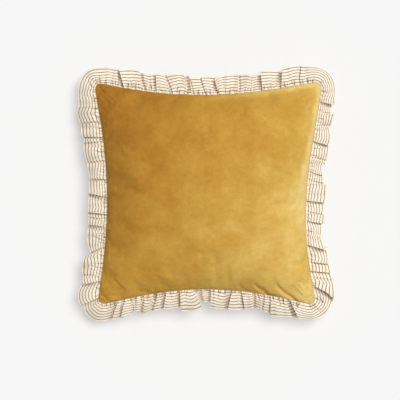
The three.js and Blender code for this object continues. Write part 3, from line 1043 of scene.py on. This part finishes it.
# The lie of the pile, with painted shade and light, the painted highlight spot and the painted sheen
# band added in.
for first, factor in (
    (stroked_and_lit, 1.0),
    (painted_sheen_spot, 1.0),
    (sheen_near_seam, sheen_on_side),
    (patches, PATCH_SHARE),
    (smudges, SMUDGE_SHARE),
):
    lie_and_light = add_node(tree, "ShaderNodeMath", {0: first, 1: factor, 2: lie_and_light}, operation="MULTIPLY_ADD")
lying_and_lit = add_node(tree, "ShaderNodeValToRGB", {0: lie_and_light})
ramp = lying_and_lit.node.color_ramp
while len(ramp.elements) < len(PILE_AND_LIGHT_COLOURS):
    ramp.elements.new(0.5)
for element, (position, colour) in zip(ramp.elements, PILE_AND_LIGHT_COLOURS):
    element.position = position
    element.color = colour

# %% [markdown]
# The pile stands in tufts. Real ones are about half a millimetre across, too fine for the picture,
# so they are drawn three times as coarse. They darken the gaps between them and roughen the surface.

# %% The tufts of the pile
TUFTS = (1.6, 3.0, 0.7)
TUFT_CONTRAST = {"From Min": 0.3, "From Max": 0.7, "To Min": 0.86, "To Max": 1.1}
SMUDGE_RELIEF = 2.0
PILE_BUMP = {"Strength": 0.4, "Distance": 0.7 * MM}

tufts = add_node(tree, "ShaderNodeTexNoise", cloudy(place, *TUFTS), "Fac")
grain = add_node(tree, "ShaderNodeMapRange", {"Value": tufts, **TUFT_CONTRAST})
grain = add_node(tree, "ShaderNodeCombineColor", {0: grain, 1: grain, 2: grain})
layers = {0: 1.0, 6: lying_and_lit, 7: grain}
shaded = add_node(tree, "ShaderNodeMix", layers, 2, data_type="RGBA", blend_type="MULTIPLY")
pile = {0: smudges, 1: SMUDGE_RELIEF, 2: tufts}
pile = add_node(tree, "ShaderNodeMath", pile, operation="MULTIPLY_ADD")
bumps = add_node(tree, "ShaderNodeBump", {"Height": pile, **PILE_BUMP})
tree.links.new(shaded, shader.inputs["Base Color"])
tree.links.new(bumps, shader.inputs["Normal"])
cushion.data.materials.append(velvet)
print("the velvet has", len(tree.nodes), "nodes")

# %% [markdown]
# ## Ticking
# Ticking is a plain cream cotton with narrow coloured stripes woven in. Here they run along the
# strip, so they are bands of the UV map's second number, and the weave makes them waver a little.
# The cream is a little uneven, as washed cotton is.

# %% Colours and sizes of the ticking
CREAM = linear("#faf1e2")
WASHED_CREAM = linear("#f0e4cd")
TAN = linear("#967351")
WASHED_COTTON = {
    "Roughness": 0.9,
    "Specular IOR Level": 0.2,
    "Sheen Weight": 0.15,
    "Sheen Roughness": 0.5,
}
STRIPE_PITCH = 6.2
STRIPE_SHARE = 0.25
STRIPE_BLUR = 0.05
PATTERN_START = 2.6
WAVER = 0.5
WAVERING = (11.1, 2.0, 0.5)
WASHING = (25.0, 3.0, 0.5)

# %% The stripes from the UV map
ticking, tree, shader = new_material("cream_ticking", WASHED_COTTON)
strip = add_node(tree, "ShaderNodeUVMap", uv_map="strip")
along = add_node(tree, "ShaderNodeSeparateXYZ", {0: strip}, "X")
across = add_node(tree, "ShaderNodeSeparateXYZ", {0: strip}, "Y")
wavering = add_node(tree, "ShaderNodeTexNoise", cloudy(strip, *WAVERING), "Fac")
woven = {0: wavering, 1: WAVER * MM, 2: across}
woven = add_node(tree, "ShaderNodeMath", woven, operation="MULTIPLY_ADD")
pitches = {0: woven, 1: 1 / (STRIPE_PITCH * MM), 2: -(PATTERN_START + WAVER / 2) / STRIPE_PITCH}
pitches = add_node(tree, "ShaderNodeMath", pitches, operation="MULTIPLY_ADD")
# The share of a pitch, less a half, is zero in the middle of a stripe.
off_middle = add_node(tree, "ShaderNodeMath", {0: pitches}, operation="FRACT")
off_middle = add_node(tree, "ShaderNodeMath", {0: off_middle, 1: 0.5}, operation="SUBTRACT")
off_middle = add_node(tree, "ShaderNodeMath", {0: off_middle}, operation="ABSOLUTE")
edge = {
    "Value": off_middle,
    "From Min": STRIPE_SHARE / 2 - STRIPE_BLUR,
    "From Max": STRIPE_SHARE / 2 + STRIPE_BLUR,
    "To Min": 1.0,
    "To Max": 0.0,
}
striped = add_node(tree, "ShaderNodeMapRange", edge)
washed = add_node(tree, "ShaderNodeTexNoise", cloudy(strip, *WASHING), "Fac")
ground = add_node(tree, "ShaderNodeMix", {0: washed, 6: CREAM, 7: WASHED_CREAM}, 2, data_type="RGBA")
dyed = add_node(tree, "ShaderNodeMix", {0: striped, 6: ground, 7: TAN}, 2, data_type="RGBA")
tree.links.new(dyed, shader.inputs["Base Color"])
print("about", round(FRILL_DEPTH / STRIPE_PITCH), "stripes across the frill")

# %% [markdown]
# Warp and weft cross at right angles, so their relief is the product of two sine waves. A real
# thread takes up a third of a millimetre, and is drawn twice as coarse to be seen from close by.

# %% The weave of the ticking
THREAD = 0.7
WEAVE_BUMP = {"Strength": 0.25, "Distance": 0.15 * MM}

threads = []
for thread in (along, across):
    turned = {0: thread, 1: 2 * math.pi / (THREAD * MM)}
    turned = add_node(tree, "ShaderNodeMath", turned, operation="MULTIPLY")
    threads.append(add_node(tree, "ShaderNodeMath", {0: turned}, operation="SINE"))
weave = add_node(tree, "ShaderNodeMath", {0: threads[0], 1: threads[1]}, operation="MULTIPLY")
bumps = add_node(tree, "ShaderNodeBump", {"Height": weave, **WEAVE_BUMP})
tree.links.new(bumps, shader.inputs["Normal"])
frill.data.materials.append(ticking)
print("the ticking has", len(tree.nodes), "nodes")

# %% [markdown]
# ## Floor and light
# The cushion lies on a pale table that glows a little of its own: painted light, which lifts its
# shadow so that it is faint. One wide soft light stands high towards the top right of the picture. A
# sun lamp with a wide disc does that: it lights the table evenly, and leaves a soft shadow to the
# left of the frill and just below it. The room adds fill.

# %% Floor and light
FLOOR_HALF = 6.0
ROOM_LIGHT = 0.3
KEY_STRENGTH = 2.7
KEY_FROM = (1.0, 0.85, 3.2)
KEY_WIDTH = 34.0
FLOOR_GLOW = 0.425
# The floor's emission is painted light: the floor glows a little of its own to lift the cushion's
# shadow.
GLOWING_FLOOR = {
    "Base Color": linear("#b5b5b5"),
    "Roughness": 0.95,
    "Specular IOR Level": 0.0,
    "Emission Color": linear("#ffffff"),
    "Emission Strength": FLOOR_GLOW,
}

# %% The table
corners = np.array([(-1, -1, 0), (1, -1, 0), (1, 1, 0), (-1, 1, 0)]) * FLOOR_HALF / MM
floor = mesh_object("floor", corners.astype(float), np.array([[0, 1, 2, 3]]))
glowing_floor_material, tree, shader = new_material("glowing_floor", GLOWING_FLOOR)
floor.data.materials.append(glowing_floor_material)

# %% The room and the key light
world = bpy.data.worlds.new("room")
world.use_nodes = True
background = world.node_tree.nodes["Background"]
background.inputs["Color"].default_value = linear("#ffffff")
background.inputs["Strength"].default_value = ROOM_LIGHT
bpy.context.scene.world = world
bpy.context.scene.view_settings.view_transform = "Standard"

key_data = bpy.data.lights.new("key", "SUN")
key_data.energy = KEY_STRENGTH
key_data.angle = math.radians(KEY_WIDTH)
key = bpy.data.objects.new("key", key_data)
key.location = KEY_FROM
x, y, z = KEY_FROM
key.rotation_euler = (math.atan2(math.hypot(x, y), z), 0, math.atan2(y, x) + math.pi / 2)
bpy.context.collection.objects.link(key)
print("the key light is", round(math.degrees(math.atan2(z, math.hypot(x, y)))), "degrees up")

# %% [markdown]
# ## Handing over
# Each piece rides on the one rigid body of the model and stands for its solid, which is hidden.

# %% Handing over
for piece, node, slot in ((cushion, "cushion_body", "velvet_cover"), (frill, "frill", "ticking_frill")):
    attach(piece, "root")
    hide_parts(node)

bpy.context.view_layer.update()
